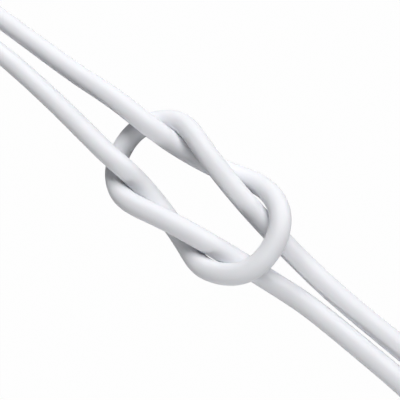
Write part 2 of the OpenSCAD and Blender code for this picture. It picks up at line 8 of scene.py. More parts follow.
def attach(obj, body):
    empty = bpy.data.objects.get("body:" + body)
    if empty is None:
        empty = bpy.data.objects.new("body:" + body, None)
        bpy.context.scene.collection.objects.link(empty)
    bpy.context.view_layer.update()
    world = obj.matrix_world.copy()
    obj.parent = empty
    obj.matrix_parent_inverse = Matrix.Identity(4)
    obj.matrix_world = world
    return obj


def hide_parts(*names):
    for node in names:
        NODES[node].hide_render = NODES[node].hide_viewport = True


bl_info = {
    "name": "Knotted Charging Cable",
    "version": (1, 0, 0),
    "blender": (4, 5, 0),
    "location": "3D View > Sidebar > Cable",
    "description": "Dresses a packed charging cable: knot, coil, strap and both plugs",
    "category": "Object",
}

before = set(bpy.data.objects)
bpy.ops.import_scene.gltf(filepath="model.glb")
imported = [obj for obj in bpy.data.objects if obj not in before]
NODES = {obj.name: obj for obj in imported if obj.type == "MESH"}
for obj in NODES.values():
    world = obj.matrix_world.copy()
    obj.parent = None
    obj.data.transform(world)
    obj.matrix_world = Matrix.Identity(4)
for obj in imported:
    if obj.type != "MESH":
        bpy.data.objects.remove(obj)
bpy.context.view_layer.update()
MM = 0.001


# Sizes and colours that a user would change

def measure(name, description, value):
    """A length that a user can set, in metres."""
    return bpy.props.FloatProperty(
        name=name, description=description, default=value, unit="LENGTH")


class CordSizes(bpy.types.PropertyGroup):
    diameter: measure("Diameter", "Across the round jacket", 0.004)
    coil_radius: measure(
        "Coil radius", "From the coil's middle to the middle of its turns", 0.022)
    turn_gap: measure("Turn gap", "Room between neighbouring turns", 0.0001)
    steps_per_turn: bpy.props.IntProperty(
        name="Points per turn", description="Points of the route in each turn of the coil",
        default=24)
    jacket: bpy.props.FloatVectorProperty(
        name="Jacket colour", description="Colour of the soft jacket", subtype="COLOR",
        size=3, default=(0.8, 0.808, 0.84))


class StrapSizes(bpy.types.PropertyGroup):
    width: measure("Width", "Across the webbing", 0.010)
    thickness: measure("Thickness", "Of one layer of webbing", 0.0006)
    colour: bpy.props.FloatVectorProperty(
        name="Colour", description="Colour of the woven strap", subtype="COLOR",
        size=3, default=(0.035, 0.036, 0.04))


class USBASizes(bpy.types.PropertyGroup):
    width: measure("Width", "Of the housing", 0.0156)
    height: measure("Height", "Of the housing", 0.008)
    length: measure("Length", "Of the housing", 0.022)
    corner: measure("Corner", "Radius of the housing's long edges", 0.0022)
    wall: measure("Wall", "Of the housing", 0.0012)
    rear_rim: measure("Rear rim", "Rounding of the housing's rear edge", 0.0004)
    shell_width: measure("Shell width", "Of the metal shell", 0.012)
    shell_height: measure("Shell height", "Of the metal shell", 0.0045)
    shell_corner: measure("Shell corner", "Radius of the shell's long edges", 0.0007)
    relief_length: measure("Relief length", "Of the slotted sleeve", 0.014)
    relief_wall: measure("Relief wall", "Of the sleeve at the housing", 0.0014)


class USBCSizes(bpy.types.PropertyGroup):
    width: measure("Width", "Of the housing", 0.0118)
    height: measure("Height", "Of the housing", 0.0065)
    length: measure("Length", "Of the housing", 0.01735)
    corner: measure("Corner", "Radius of the housing's long edges", 0.0024)
    wall: measure("Wall", "Of the housing", 0.0008)
    rear_rim: measure("Rear rim", "Rounding of the housing's rear edge", 0.00015)
    shell_width: measure("Shell width", "Of the drawn shell", 0.00825)
    shell_height: measure("Shell height", "Of the drawn shell", 0.0024)
    shell_corner: measure("Shell corner", "Radius of the shell's round sides", 0.0012)
    relief_length: measure("Relief length", "Of the slotted sleeve", 0.012)
    relief_wall: measure("Relief wall", "Of the sleeve at the housing", 0.0008)


class StageSizes(bpy.types.PropertyGroup):
    lens: bpy.props.FloatProperty(
        name="Lens", description="Focal length in millimetres", default=70.0)
    distance: measure("Distance", "From the camera to the knot", 0.1485)
    tilt: bpy.props.FloatProperty(
        name="Tilt", description="How far the camera leans towards the USB-C plug",
        default=radians(14.35), subtype="ANGLE")
    turn: bpy.props.FloatProperty(
        name="Turn", description="How far the cable's long axis is turned in the view",
        default=radians(40.62), subtype="ANGLE")
    power: bpy.props.FloatProperty(
        name="Power", description="Power of all the lights together in watts", default=9.4)
    sky: bpy.props.FloatProperty(
        name="Sky", description="Strength of the even light all round", default=0.095)


# Shared helpers

def grow(tree, kind, inputs=None, **settings):
    """Adds a shader node with its settings and socket values."""
    node = tree.nodes.new(kind)
    for name, value in settings.items():
        setattr(node, name, value)
    for name, value in (inputs or {}).items():
        node.inputs[name].default_value = value
    return node


def material(name):
    """A new node material, with its Principled shader."""
    made = bpy.data.materials.new(name)
    made.use_nodes = True
    return made, made.node_tree, made.node_tree.nodes["Principled BSDF"]


def ramp_between(tree, factor, low, high, start, end):
    """Turns a factor into a colour between two colours."""
    ramp = grow(tree, "ShaderNodeValToRGB")
    ramp.color_ramp.elements[0].position = start
    ramp.color_ramp.elements[1].position = end
    ramp.color_ramp.elements[0].color = (*low, 1)
    ramp.color_ramp.elements[1].color = (*high, 1)
    tree.links.new(factor, ramp.inputs["Fac"])
    return ramp.outputs["Color"]


def moulded(name, colour, roughness, grain, depth, shift=0.02, coat=0.0, soft=0.0, sheen=0.0):
    """Moulded plastic or rubber: faint cloudiness, fine spark-eroded grain and handling marks."""
    made, tree, shader = material(name)
    place = grow(tree, "ShaderNodeTexCoord").outputs["Object"]
    cloud = grow(tree, "ShaderNodeTexNoise", {"Scale": 180.0, "Detail": 4.0})
    fine = grow(tree, "ShaderNodeTexNoise", {"Scale": grain, "Detail": 3.0, "Roughness": 0.6})
    marks = grow(tree, "ShaderNodeTexNoise", {"Scale": 900.0, "Detail": 5.0})
    for texture in (cloud, fine, marks):
        tree.links.new(place, texture.inputs["Vector"])
    low = [c * (1 - shift) for c in colour]
    high = [min(1, c * (1 + shift)) for c in colour]
    tree.links.new(ramp_between(tree, cloud.outputs["Fac"], low, high, 0.35, 0.65),
                   shader.inputs["Base Color"])
    rough = grow(tree, "ShaderNodeMapRange", {"From Min": 0.3, "From Max": 0.7,
                 "To Min": roughness - 0.04, "To Max": roughness + 0.04})
    tree.links.new(marks.outputs["Fac"], rough.inputs["Value"])
    tree.links.new(rough.outputs["Result"], shader.inputs["Roughness"])
    bump = grow(tree, "ShaderNodeBump", {"Strength": 0.35, "Distance": depth})
    tree.links.new(fine.outputs["Fac"], bump.inputs["Height"])
    tree.links.new(bump.outputs["Normal"], shader.inputs["Normal"])
    shader.inputs["Coat Weight"].default_value = coat
    shader.inputs["Sheen Weight"].default_value = sheen
    shader.inputs["Sheen Roughness"].default_value = 0.35
    shader.inputs["Subsurface Weight"].default_value = soft
    shader.inputs["Subsurface Scale"].default_value = 0.001
    return made


def metal(name, colour, roughness, drawn=(6000.0, 250.0, 6000.0), depth=0.000004, wear=0.15):
    """Plated sheet metal: fine drawn streaks, cloudy plating and rubbed, duller marks."""
    made, tree, shader = material(name)
    place = grow(tree, "ShaderNodeTexCoord").outputs["Object"]
    along = grow(tree, "ShaderNodeMapping", {"Scale": drawn})
    tree.links.new(place, along.inputs["Vector"])
    streaks = grow(tree, "ShaderNodeTexNoise", {"Scale": 1.0, "Detail": 3.0})
    tree.links.new(along.outputs["Vector"], streaks.inputs["Vector"])
    cloud = grow(tree, "ShaderNodeTexNoise", {"Scale": 350.0, "Detail": 6.0})
    tree.links.new(place, cloud.inputs["Vector"])
    dull = [c * (1 - wear) for c in colour]
    tree.links.new(ramp_between(tree, cloud.outputs["Fac"], dull, colour, 0.2, 0.8),
                   shader.inputs["Base Color"])
    rough = grow(tree, "ShaderNodeMapRange", {"From Min": 0.3, "From Max": 0.7,
                 "To Min": max(0.05, roughness - 0.1), "To Max": roughness + 0.1})
    tree.links.new(streaks.outputs["Fac"], rough.inputs["Value"])
    tree.links.new(rough.outputs["Result"], shader.inputs["Roughness"])
    bump = grow(tree, "ShaderNodeBump", {"Strength": 0.4, "Distance": depth})
    tree.links.new(streaks.outputs["Fac"], bump.inputs["Height"])
    tree.links.new(bump.outputs["Normal"], shader.inputs["Normal"])
    shader.inputs["Metallic"].default_value = 1.0
    return made


def crossed_threads(tree, place, pitch):
    """The height of a plain weave, where each of two threads lies on top by turns."""
    top = grow(tree, "ShaderNodeTexChecker", {"Scale": 1.0 / pitch})
    bands = []
    for direction in ("X", "Y"):
        band = grow(tree, "ShaderNodeTexWave", {"Scale": pi / (10 * pitch)}, wave_type="BANDS",
                    bands_direction=direction, wave_profile="SIN")
        tree.links.new(place, band.inputs["Vector"])
        bands.append(band.outputs["Fac"])
    tree.links.new(place, top.inputs["Vector"])
    height = grow(tree, "ShaderNodeMix", data_type="FLOAT")
    tree.links.new(top.outputs["Fac"], height.inputs["Factor"])
    tree.links.new(bands[0], height.inputs["A"])
    tree.links.new(bands[1], height.inputs["B"])
    return height.outputs["Result"]


def woven(name, colour, pitch, place_from, depth, metallic=0.0, roughness=0.85, sheen=0.4):
    """A plain weave of threads with painted shade: darker in the dips between threads and lighter
    on their crowns, with wider patches of lighter or darker tone and loose fibres.
    """
    made, tree, shader = material(name)
    if place_from == "UV":
        place = grow(tree, "ShaderNodeUVMap", uv_map="weave").outputs["UV"]
    else:
        place = grow(tree, "ShaderNodeTexCoord").outputs["Object"]
    height = crossed_threads(tree, place, pitch)
    fibres = grow(tree, "ShaderNodeTexNoise", {"Scale": 6.0 / pitch, "Detail": 3.0})
    patch = grow(tree, "ShaderNodeTexNoise", {"Scale": 0.25 / pitch, "Detail": 3.0})
    for texture in (fibres, patch):
        tree.links.new(place, texture.inputs["Vector"])
    # Painted shade and light: the colour follows the weave's height, dark in the dips between
    # threads and light on the crowns, plus wider patches of random tone
    shade = grow(tree, "ShaderNodeMath", {1: 0.7}, operation="MULTIPLY_ADD")
    tree.links.new(height, shade.inputs[0])
    tree.links.new(patch.outputs["Fac"], shade.inputs[2])
    low = [c * 0.35 for c in colour]
    high = [min(1, c * 1.9) for c in colour]
    tree.links.new(ramp_between(tree, shade.outputs["Value"], low, high, 0.35, 1.25),
                   shader.inputs["Base Color"])
    rise = grow(tree, "ShaderNodeMath", {1: 0.25}, operation="MULTIPLY_ADD")
    tree.links.new(fibres.outputs["Fac"], rise.inputs[0])
    tree.links.new(height, rise.inputs[2])
    bump = grow(tree, "ShaderNodeBump", {"Strength": 0.8, "Distance": depth})
    tree.links.new(rise.outputs["Value"], bump.inputs["Height"])
    tree.links.new(bump.outputs["Normal"], shader.inputs["Normal"])
    rough = grow(tree, "ShaderNodeMapRange", {"To Min": roughness - 0.12, "To Max": roughness})
    tree.links.new(fibres.outputs["Fac"], rough.inputs["Value"])
    tree.links.new(rough.outputs["Result"], shader.inputs["Roughness"])
    shader.inputs["Metallic"].default_value = metallic
    shader.inputs["Sheen Weight"].default_value = sheen
    shader.inputs["Sheen Roughness"].default_value = 0.4
    return made


def circuit_card(name):
    """Green lacquer over copper tracks on glass cloth."""
    made, tree, shader = material(name)
    place = grow(tree, "ShaderNodeTexCoord").outputs["Object"]
    tracks = grow(tree, "ShaderNodeTexBrick", {"Scale": 900.0, "Mortar Size": 0.12,
                  "Color1": (0.02, 0.16, 0.07, 1), "Color2": (0.025, 0.2, 0.09, 1),
                  "Mortar": (0.05, 0.3, 0.13, 1)})
    tree.links.new(place, tracks.inputs["Vector"])
    tree.links.new(tracks.outputs["Color"], shader.inputs["Base Color"])
    bump = grow(tree, "ShaderNodeBump", {"Strength": 0.5, "Distance": 0.00002})
    tree.links.new(tracks.outputs["Fac"], bump.inputs["Height"])
    tree.links.new(bump.outputs["Normal"], shader.inputs["Normal"])
    shader.inputs["Roughness"].default_value = 0.3
    return made


# Filled by the finishes operator, read by the ones that make pieces
FINISHES = {}


def make_finishes(jacket, strap):
    """Every material of the cable, by the name of its slot."""
    relief = [c * 0.93 for c in jacket]
    plain = {
        "white_plastic": moulded("hard_white", (0.74, 0.745, 0.77), 0.34, 9000.0, 0.000006,
                                 shift=0.008, coat=0.2),
        "relief_rubber": moulded("relief_rubber", relief, 0.6, 7000.0, 0.000008, soft=0.05),
        "white_jacket": moulded("soft_jacket", jacket, 0.62, 7000.0, 0.000004, shift=0.012,
                                soft=0.05, sheen=0.2),
        "black_plastic": moulded("black_insulator", (0.02, 0.02, 0.022), 0.45, 6000.0, 0.00001,
                                 shift=0.3),
        "inner_plastic": moulded("filling", (0.6, 0.6, 0.55), 0.5, 3000.0, 0.00004, shift=0.08,
                                 soft=0.2),
        "chip_black": moulded("chip_body", (0.03, 0.03, 0.03), 0.5, 9000.0, 0.00001, shift=0.3),
        "chip_tan": moulded("chip_ceramic", (0.35, 0.24, 0.14), 0.5, 9000.0, 0.00001, shift=0.15),
        "plug_steel": metal("nickel", (0.47, 0.47, 0.485), 0.24),
        "contact_gold": metal("gold", (0.86, 0.6, 0.24), 0.2, wear=0.12),
        "copper_braid": woven("braid", (0.5, 0.24, 0.13), 0.0003, "Object", 0.00006,
                              metallic=1.0, roughness=0.4, sheen=0.0),
        "card_green": circuit_card("card"),
        "thread": woven("thread", [c * 4 for c in strap], 0.0001, "Object", 0.00002,
                        roughness=0.6),
        "strap_grey": woven("webbing", strap, 0.45, "UV", 0.0002),
    }
    for name, colour in (("red", (0.45, 0.02, 0.02)), ("white", (0.75, 0.75, 0.73)),
                         ("green", (0.03, 0.25, 0.08)), ("black", (0.02, 0.02, 0.02))):
        plain[f"wire_{name}"] = moulded(f"wire_{name}", colour, 0.4, 5000.0, 0.00001, shift=0.1)
    return plain


class CABLE_OT_finishes(bpy.types.Operator):
    """Makes the materials and gives them to the solids that stay"""
    bl_idname = "cable.finishes"
    bl_label = "Make the finishes"

    def execute(self, context):
        scene = context.scene
        FINISHES.update(make_finishes(scene.cable_cord.jacket, scene.cable_strap.colour))
        for node in NODES.values():
            for held in node.material_slots:
                held.material = FINISHES[held.material.name.split(".")[0]]
        return {"FINISHED"}


def object_from(name, mesh_builder, finish, node_slot, *nodes):
    """Makes a piece from a bmesh, with its finish, and lets it stand for the named nodes."""
    mesh = bpy.data.meshes.new(name)
    mesh_builder.to_mesh(mesh)
    mesh_builder.free()
    piece = bpy.data.objects.new(name, mesh)
    bpy.context.scene.collection.objects.link(piece)
    piece.data.materials.append(finish)
    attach(piece, "root")
    if nodes:
        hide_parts(*nodes)
    return piece


# The cord's route, in millimetres: X, Y and the lift off the table, as the solids have it

# Where the cord passes between the coil and the straight runs, and its steps along them
COIL_OUT = 14
COIL_OUT_STEP = 7
ROUTE_FROM_A = [
    (-69, 17, 2), (-69, 24, 2), (-69, 31, 2), (-72, 40, 0), (-76.5, 52, 0), (-79.5, 64, 0),
    (-79.5, 75, 0), (-75, 83.5, 0), (-66.5, 87.5, 0), (-57, 88, 0), (-47, 88.5, 0),
    (-33.5, 89, 2.5), (-25, 90, 4.5), (-15, 90, 6), (-9.5, 90.5, 0.5), (1, 92.5, 0),
    (7.5, 95.5, 0), (15, 93.5, 5.5), (18, 87, 6), (17, 79.5, 6), (9, 75.5, 2.5), (4.5, 77.5, 0),
    (-9, 80.5, 0), (-14, 81, 3.5), (-18.5, 81, 5), (-31, 82, 3), (-45, 82.5, 0.5),
    (-54.5, 82.5, 0), (-63.5, 81.5, 0), (-70.5, 77, 0), (-73, 69, 0), (-70, 60.5, 0),
    (-62, 54, 0), (-52, 48, 0), (-42, 42, 0), (-33, 36, 0), (-26.5, 29, 0)]
ROUTE_FROM_C = [
    (70.9, 5, 1.25), (70.9, 12, 1.25), (70.9, 19, 1.25), (74, 28, 0), (77.5, 39, 0),
    (80.5, 50, 0), (82.5, 62, 0), (82, 73.5, 0), (77, 82.5, 0), (68, 87.5, 0), (57, 88, 0),
    (46, 88, 0), (37.5, 88, 0), (29, 88, 0.5), (18, 89, 1), (6.5, 90.5, 3.5), (-4.5, 93, 5),
    (-10.5, 95, 3), (-15, 93.5, 0.5), (-19, 88.5, 1), (-18, 79.5, -0.5), (-11.5, 75.5, 1.5),
    (-3, 78.5, 6), (10.5, 81, 2.5), (21.5, 82.5, 0.5), (25, 83, 0), (30.5, 83.5, 0),
    (43.5, 83.5, 0), (51.5, 83.5, 0), (61.5, 82, 0), (69.5, 77.5, 0), (73, 69, 0), (70, 60.5, 0),
    (62, 54, 0), (52, 48, 0), (42, 42, 0), (33, 36, 0.5), (26.5, 29, 2.5)]

KNOT = Vector((0, 0.0855, 0))

# Angles along the coil in degrees: its ends, and where it changes its track or level
COIL_START, COIL_END = 180, 1440
TO_INNER = (450, 540)
TO_UPPER = (745, 810)
TO_OUTER = (1085, 1140)

# Under the strap the turns lie higher, by its thickness and a little room
STRAP_ANGLE = 270
STRAP_FLAT, STRAP_SPREAD = 8, 28
STRAP_LIFT = 0.65

# How finely the curve is drawn, round it and between its points
CORD_ROUNDNESS = 9
CORD_STEPS = 10


def eased(value, start, end):
    """Goes smoothly from 0 to 1 between start and end."""
    share = min(1.0, max(0.0, (value - start) / (end - start)))
    return share * share * (3 - 2 * share)


def coil_points(radius, step, count_per_turn):
    """The route's points in the coil: two tracks side by side and two levels."""
    points = []
    turn = 360 / count_per_turn
    # A smooth curve runs inside its points, so they lie a little further out
    swell = 1 / (2 / 3 + cos(radians(turn)) / 3)
    for index in range(round((COIL_END - COIL_START) / turn) + 1):
        angle = COIL_START + index * turn
        inner = eased(angle, *TO_INNER) - eased(angle, *TO_OUTER)
        track = (radius + step / 2 - step * inner) * swell
        away = abs((angle - STRAP_ANGLE + 180) % 360 - 180)
        raised = 1 - eased(away, STRAP_FLAT, STRAP_SPREAD)
        lift = step * eased(angle, *TO_UPPER) + STRAP_LIFT * raised
        points.append((track * cos(radians(angle)), track * sin(radians(angle)), lift))
    return points


def cord_points(sizes):
    """All the route's points, from the USB-A plug's exit through the coil to the USB-C plug's."""
    diameter = sizes.diameter / MM
    step = diameter + sizes.turn_gap / MM
    side = sizes.coil_radius / MM + step / 2
    enter = [(-side, COIL_OUT - along * COIL_OUT_STEP, 0) for along in (-1, 0, 1)]
    leave = [(side, COIL_OUT + along * COIL_OUT_STEP, step) for along in (-1, 0, 1)]
    coil = coil_points(sizes.coil_radius / MM, step, sizes.steps_per_turn)
    route = ROUTE_FROM_A + enter + coil + leave + ROUTE_FROM_C[::-1]
    return [Vector((x, y, lift + diameter / 2)) * MM for x, y, lift in route]


class CABLE_OT_cord(bpy.types.Operator):
    """Lays the cord from plug to plug through the knot and the coil"""
    bl_idname = "cable.cord"
    bl_label = "Lay the cord"

    def execute(self, context):
        sizes = context.scene.cable_cord
        curve = bpy.data.curves.new("cord", "CURVE")
        curve.dimensions = "3D"
        curve.bevel_depth = sizes.diameter / 2
        curve.bevel_resolution = CORD_ROUNDNESS
        curve.resolution_u = CORD_STEPS
        curve.use_fill_caps = True
        points = cord_points(sizes)
        line = curve.splines.new("NURBS")
        line.points.add(len(points) - 1)
        for point, place in zip(line.points, points):
            point.co = (*place, 1)
        line.order_u = 4
        line.resolution_u = CORD_STEPS
        line.use_smooth = True
        cord = bpy.data.objects.new("cord", curve)
        context.scene.collection.objects.link(cord)
        curve.materials.append(FINISHES["white_jacket"])
        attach(cord, "root")
        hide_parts("cord_a", "cord_c", "cord_coil")
        return {"FINISHED"}


# The plugs. Each is shaped along +X from where the cord leaves it, in millimetres, and then placed

PLUG_A = Matrix.Translation((-0.069, 0.024, 0.004)) @ Matrix.Rotation(-pi / 2, 4, "Z")
PLUG_C = Matrix.Translation((0.0709, 0.012, 0.00325)) @ Matrix.Rotation(-pi / 2, 4, "Z")

# Points closer than this are at the same place
TOUCH = 1e-4
# Room between a piece and what it holds
FIT = 0.05

# Housing: the rear taper's length, its share of the wall and its drop, and the eased nose
TAIL, TAIL_SHARE, TAIL_DROP = 3.5, 0.6, 0.4
EASE, SLIM = 1.6, 0.8
CORNER_STEPS, RIM_STEPS = 10, 4
FRONT_RIM, HOLE_RIM, MOUTH_RIM = 0.45, 0.04, 0.12
MOUTH_EDGE = 0.01
# Parting line: half its width, its depth, the bevel of its sides and how far off the mouth it ends
LINE_HALF, LINE_DEPTH, LINE_BEVEL, LINE_CLEAR = 0.05, 0.05, 0.005, 0.5

# Strain relief: wall at the tip, plain ends, slots, and the wall left under a slot
RELIEF_TIP, RELIEF_LIP, RELIEF_ROUND = 0.5, 1.0, 72
RELIEF_SLOT, RELIEF_SLOTS, SLOT_FLOOR = 0.8, 5, 0.3
# How far it reaches into the housing, and how much it grips the cord
RELIEF_INTO, RELIEF_GRIP = 0.6, 0.02
TIP_RIM, SLOT_RIM = 0.22, 0.07
# An edge counts as a slot's brink from this angle, in radians, and beyond this station
BRINK_ANGLE, BRINK_FROM = 0.6, 0.3


def everything(shape):
    """All of a bmesh's points, edges and faces."""
    return [*shape.verts, *shape.edges, *shape.faces]


def ring_at(shape, station):
    """The points at one station along X."""
    return [v for v in shape.verts if abs(v.co.x - station) < TOUCH]


def pushed_points(shape, faces):
    """Extrudes faces, drops the ones they came from and returns the new points."""
    pushed = bmesh.ops.extrude_face_region(shape, geom=faces)["geom"]
    bmesh.ops.delete(shape, geom=[f for f in faces if f.is_valid], context="FACES")
    return [g for g in pushed if isinstance(g, bmesh.types.BMVert)]


def round_edges(shape, edges, radius, segments):
    """Rounds the edges off."""
    bmesh.ops.bevel(shape, geom=edges, offset=radius, offset_type="OFFSET", affect="EDGES",
                    segments=segments, profile=0.5, material=-1)


def smooth_sides(shape, limit=0.55):
    """Shades faces smoothly and keeps edges sharp above an angle in radians."""
    for face in shape.faces:
        face.smooth = True
    for edge in shape.edges:
        edge.smooth = len(edge.link_faces) == 2 and edge.calc_face_angle(0) < limit


def onto_outline(verts, old, new):
    """Moves a ring from one outline (width, height, corner) about the axis to another."""
    for vert in verts:
        side = Vector((0, max(0.0, abs(vert.co.y) - old[0] / 2 + old[2]),
                       max(0.0, abs(vert.co.z) - old[1] / 2 + old[2])))
        side = side.normalized() * new[2]
        vert.co.y = (new[0] / 2 - new[2] + side.y) * (1 if vert.co.y > 0 else -1)
        vert.co.z = (new[1] / 2 - new[2] + side.z) * (1 if vert.co.z > 0 else -1)


def open_end(shape, station, old, new, depth, rim):
    """Sinks a mouth with a rounded rim into the flat end at a station."""
    flat = [f for f in shape.faces if all(abs(v.co.x - station) < TOUCH for v in f.verts)]
    face = max(flat, key=lambda f: f.calc_area())
    bmesh.ops.inset_region(shape, faces=[face], thickness=MOUTH_EDGE, use_even_offset=True)
    onto_outline(face.verts, old, new)
    edges = list(face.edges)
    bmesh.ops.translate(shape, vec=(depth, 0, 0), verts=pushed_points(shape, [face]))
    round_edges(shape, [e for e in edges if e.is_valid], rim, 2)


def housing_shape(plug, hole_radius):
    """The hard sleeve: rounded, tapered to the rear, eased at the front, with a parting line."""
    width, height, corner = plug.width / MM, plug.height / MM, plug.corner / MM
    start = plug.relief_length / MM
    end = start + plug.length / MM
    tail = (width - 2 * TAIL_SHARE * plug.wall / MM, height - TAIL_DROP)
    nose = (width - SLIM, height - SLIM)
    shape = bmesh.new()
    bmesh.ops.create_cube(shape, size=1)
    bmesh.ops.scale(shape, vec=(end - start, width, height), verts=shape.verts)
    bmesh.ops.translate(shape, vec=((start + end) / 2, 0, 0), verts=shape.verts)
    for station in (start + TAIL, end - EASE):
        bmesh.ops.bisect_plane(shape, geom=everything(shape), plane_co=(station, 0, 0),
                               plane_no=(1, 0, 0))
    for station, (wide, high) in ((start, tail), (end, nose)):
        bmesh.ops.scale(shape, vec=(1, wide / width, high / height), verts=ring_at(shape, station))
    long_edges = [e for e in shape.edges if abs(e.verts[0].co.x - e.verts[1].co.x) > 0.1]
    round_edges(shape, long_edges, corner, CORNER_STEPS)
    rear_rim = plug.rear_rim / MM
    for station, rim in ((start, rear_rim), (end, FRONT_RIM)):
        around = [e for e in shape.edges if all(abs(v.co.x - station) < TOUCH for v in e.verts)]
        round_edges(shape, around, rim, RIM_STEPS)
    hole = hole_radius / MM + FIT / 2
    open_end(shape, start, (tail[0] - 2 * rear_rim, tail[1] - 2 * rear_rim, corner - rear_rim),
             (2 * hole, 2 * hole, hole), plug.wall / MM, HOLE_RIM)
    mouth = (plug.shell_width / MM + 2 * FIT, plug.shell_height / MM + 2 * FIT,
             plug.shell_corner / MM + FIT)
    open_end(shape, end, (nose[0] - 2 * FRONT_RIM, nose[1] - 2 * FRONT_RIM, corner - FRONT_RIM),
             mouth, -plug.wall / MM, MOUTH_RIM)
    part_line(shape, mouth[0] / 2 + LINE_CLEAR)
    smooth_sides(shape)
    return shape


def part_line(shape, clear):
    """The fine line where the mould's halves met, along both sides outside a distance."""
    for level in (-LINE_HALF, LINE_HALF):
        bmesh.ops.bisect_plane(shape, geom=everything(shape), plane_co=(0, 0, level),
                               plane_no=(0, 0, 1))
    line = [f for f in shape.faces
            if abs(f.calc_center_median().z) < 0.8 * LINE_HALF
            and abs(f.calc_center_median().y) > clear]
    bmesh.ops.inset_region(shape, faces=line, thickness=LINE_BEVEL, depth=-LINE_DEPTH)


def relief_shape(plug, cord_radius):
    """The slotted sleeve: a spun taper with slots by turns on its sides and on top."""
    cord, length = cord_radius / MM, plug.relief_length / MM
    root = cord + plug.relief_wall / MM - FIT
    tip = cord + RELIEF_TIP
    pitch = (length - 3 * RELIEF_LIP) / RELIEF_SLOTS
    slots = [1.5 * RELIEF_LIP + index * pitch for index in range(RELIEF_SLOTS)]
    stations = sorted({0.0, RELIEF_LIP, length - RELIEF_LIP, length + RELIEF_INTO,
                       *slots, *(at + RELIEF_SLOT for at in slots)})
    shape = bmesh.new()
    profile = [shape.verts.new((0, 0, cord - RELIEF_GRIP))]
    for at in stations:
        share = min(1, max(0, (at - RELIEF_LIP) / (length - 2 * RELIEF_LIP)))
        profile.append(shape.verts.new((at, 0, tip + (root - tip) * share)))
    edges = [shape.edges.new(pair) for pair in zip(profile, profile[1:])]
    bmesh.ops.spin(shape, geom=profile + edges, cent=(0, 0, 0), axis=(1, 0, 0), angle=2 * pi,
                   steps=RELIEF_ROUND, use_merge=True, use_duplicate=False)
    bmesh.ops.recalc_face_normals(shape, faces=shape.faces)
    floor = cord + SLOT_FLOOR
    for index, at in enumerate(slots):
        for side in (-1, 1):
            sink_slot(shape, at, "z" if index % 2 else "y", side * floor)
    bmesh.ops.remove_doubles(shape, verts=shape.verts, dist=TOUCH)
    tip_edges = [e for e in shape.edges if all(v.co.x < TOUCH and v.co.yz.length > tip - 0.01
                                               for v in e.verts)]
    round_edges(shape, tip_edges, TIP_RIM, 3)
    brink = [e for e in shape.edges if BRINK_ANGLE < e.calc_face_angle(0) and e.is_convex
             and BRINK_FROM < e.verts[0].co.x < length and e.verts[0].co.yz.length > floor - 0.1]
    round_edges(shape, brink, SLOT_RIM, 2)
    smooth_sides(shape, 0.7)
    return shape


def sink_slot(shape, at, axis, floor):
    """Presses one bending slot down to a flat floor on one side."""
    side = 1 if floor > 0 else -1
    faces = [f for f in shape.faces
             if at < f.calc_center_median().x < at + RELIEF_SLOT
             and getattr(f.calc_center_median(), axis) * side > abs(floor)]
    if not faces:
        raise RuntimeError("a bending slot found no wall to cut")
    for vert in pushed_points(shape, faces):
        if getattr(vert.co, axis) * side > abs(floor):
            setattr(vert.co, axis, floor)


def place_plug(shape, place):
    """Brings a plug's piece from millimetres along +X to its place in the frame."""
    bmesh.ops.transform(shape, matrix=place @ Matrix.Scale(MM, 4), verts=shape.verts)
    return shape


def dress_plug(letter, plug, cord_radius, place):
    """Makes a plug's housing and strain relief and puts them in the solids' place."""
    housing = housing_shape(plug, cord_radius + plug.relief_wall)
    object_from(f"plug_{letter}_housing", place_plug(housing, place), FINISHES["white_plastic"],
                "white_plastic", f"{letter}_housing")
    relief = relief_shape(plug, cord_radius)
    object_from(f"plug_{letter}_relief", place_plug(relief, place), FINISHES["relief_rubber"],
                "white_jacket", f"{letter}_strain_relief")


class CABLE_OT_usb_a(bpy.types.Operator):
    """Shapes the USB-A plug's housing and its slotted strain relief"""
    bl_idname = "cable.usb_a"
    bl_label = "Shape the USB-A plug"

    def execute(self, context):
        scene = context.scene
        dress_plug("a", scene.cable_usb_a, scene.cable_cord.diameter / 2, PLUG_A)
        return {"FINISHED"}


class CABLE_OT_usb_c(bpy.types.Operator):
    """Shapes the USB-C plug's housing and its slotted strain relief"""
    bl_idname = "cable.usb_c"
    bl_label = "Shape the USB-C plug"

    def execute(self, context):
        scene = context.scene
        dress_plug("c", scene.cable_usb_c, scene.cable_cord.diameter / 2, PLUG_C)
        return {"FINISHED"}


# The strap: one length of webbing that goes round the bundle and once more over its start

# The straight webbing spans the coil's curve, so its opening is this much wider than the bundle
STRAP_BOW = 0.746
STRAP_CENTRE = Vector((0, -21.627, 4.7))
STRAP_STEP, STRAP_ACROSS = 0.35, 14
# A layer's share of the thickness, so that two layers don't touch
STRAP_LAYER = 0.9
STRAP_RIM = 0.14
# Where the webbing climbs over its own start: the place on top, how far the start reaches past
# it and how far the first round comes, then each point's place and its share off a layer's level
CLIMB_PLACE = 1.2
CLIMB_START, CLIMB_END = 0.4, 1.3
CLIMB_STEPS = ((0.9, 0.1), (0.1, -0.1), (-0.3, 0))

# Stitches: their rows counted in steps from the end, how many, and each one's half sizes
STITCH_ROWS, STITCHES = (3, 6), 9
STITCH_MARGIN = 1.6
STITCH_LONG, STITCH_WIDE, STITCH_HIGH = 0.42, 0.13, 0.1


OUTLINE_STEPS = 8


def outline_points(width, height, corner):
    """A round-cornered outline in Y and Z, from the top towards the outer side and on round."""
    points = []
    for side, level, start in ((-1, 1, 90), (-1, -1, 180), (1, -1, 270), (1, 1, 0)):
        for step in range(OUTLINE_STEPS + 1):
            angle = radians(start + 90 * step / OUTLINE_STEPS)
            points.append(Vector((0, side * (width / 2 - corner) + corner * cos(angle),
                                  level * (height / 2 - corner) + corner * sin(angle))))
    return points


